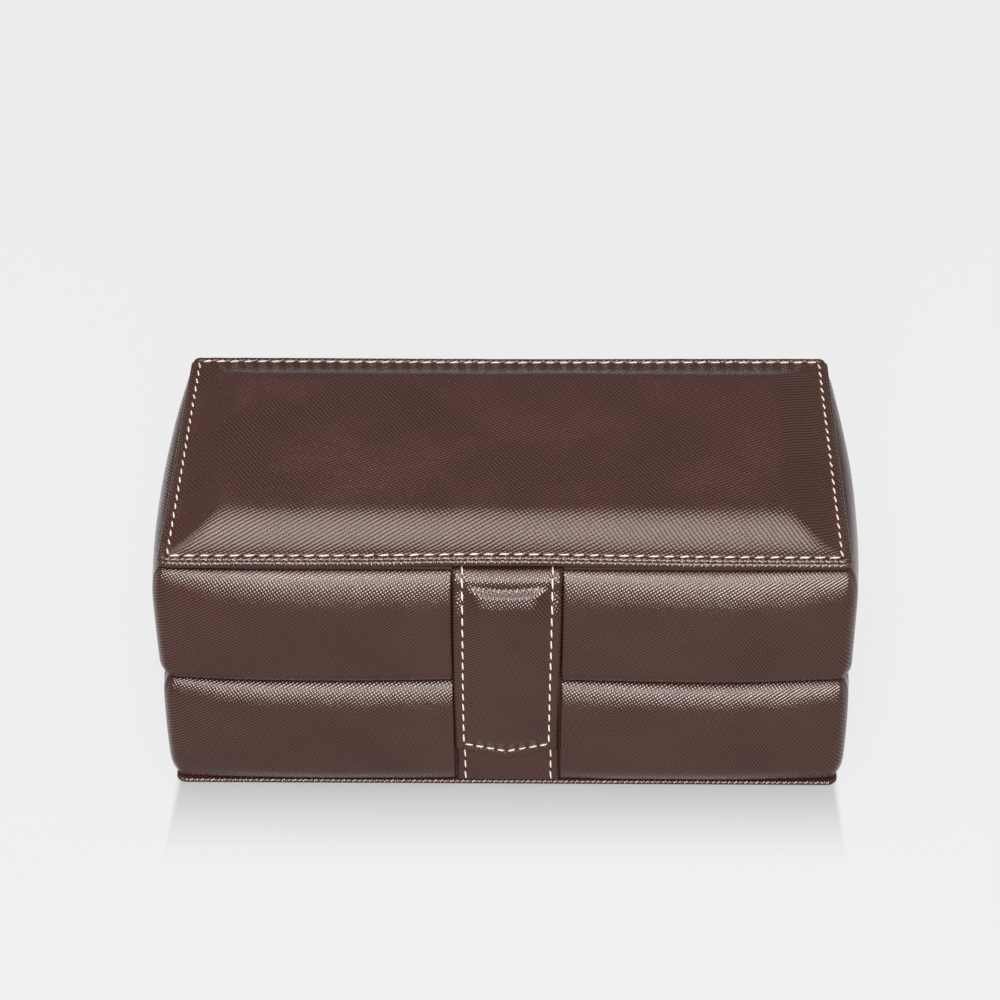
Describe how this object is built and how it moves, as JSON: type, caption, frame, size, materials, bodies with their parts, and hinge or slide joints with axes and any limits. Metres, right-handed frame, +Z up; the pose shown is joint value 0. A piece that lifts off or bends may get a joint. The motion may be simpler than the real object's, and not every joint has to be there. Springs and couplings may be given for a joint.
{
  "type": "watch box with drawer",
  "caption": "Leather-covered watch box with a padded hinged lid, a closing strap, a tray of cushioned cells and a drawer below.",
  "frame": {"origin": "centre of the face that the box rests on", "axes": "+Z up, -Y out of the front with the strap and drawer, +X to the right seen from the front"},
  "size_m": [0.2598, 0.1388, 0.115],
  "materials": {
    "leather": "cross-grained, semi-gloss",
    "board": "fibreboard, covered",
    "suede": "napped suede cloth",
    "felt": "felt",
    "brass": "polished",
    "steel": "plated"
  },
  "bodies": {
    "casing": {"back_wall": "board", "base_board": "leather", "base_felt": "felt", "hinge_pins": "brass", "left_divider": "suede", "left_hinge_lower_leaf": "brass", "left_wall": "board", "lower_back_pad": "leather", "lower_left_pad": "leather", "lower_right_pad": "leather", "middle_divider": "suede", "right_divider": "suede", "right_hinge_lower_leaf": "brass", "right_wall": "board", "shelf_board": "board", "tray_back_lining": "suede", "tray_floor": "suede", "tray_front_lining": "suede", "tray_left_lining": "suede", "tray_right_lining": "suede", "upper_back_pad": "leather", "upper_band": "leather", "upper_front_left_pad": "leather", "upper_front_right_pad": "leather", "upper_front_wall": "board", "upper_left_pad": "leather", "upper_right_pad": "leather", "wall_screws": "brass", "watch_cushion_1": "suede", "watch_cushion_2": "suede", "watch_cushion_3": "suede", "watch_cushion_4": "suede"},
    "lid": {"lid_board": "leather", "lid_panel": "leather", "lid_lining": "suede", "lid_screws": "brass", "strap_tab": "leather", "left_hinge_upper_leaf": "brass", "right_hinge_upper_leaf": "brass"},
    "drawer": {"drawer_back": "board", "drawer_band": "leather", "drawer_bottom": "board", "drawer_front_board": "board", "drawer_front_left_pad": "leather", "drawer_front_right_pad": "leather", "drawer_left_divider": "suede", "drawer_left_side": "board", "drawer_lining": "suede", "drawer_right_divider": "suede", "drawer_right_side": "board", "ring_roll_1": "suede", "ring_roll_2": "suede", "ring_roll_3": "suede", "ring_roll_4": "suede", "strike_plate": "steel"},
    "strap": {"strap_outer": "leather", "strap_lining": "leather", "strap_magnet": "steel"}
  },
  "joints": [
    {"name": "lid_hinge", "type": "hinge", "parent": "casing", "child": "lid", "pos_m": [0, 0.06525, 0.10435], "axis": [-1, 0, 0], "range_deg": [0, 95]},
    {"name": "drawer_slide", "type": "slide", "parent": "casing", "child": "drawer", "axis": [0, -1, 0], "range_m": [0, 0.08]},
    {"name": "strap_lift", "type": "hinge", "parent": "lid", "child": "strap", "pos_m": [0.0015, -0.0659, 0.103], "axis": [-1, 0, 0], "range_deg": [0, 112]}
  ],
  "couplings": [
    {"joint": "strap_lift", "follows": "drawer_slide", "rad_per_m": 24}
  ]
}
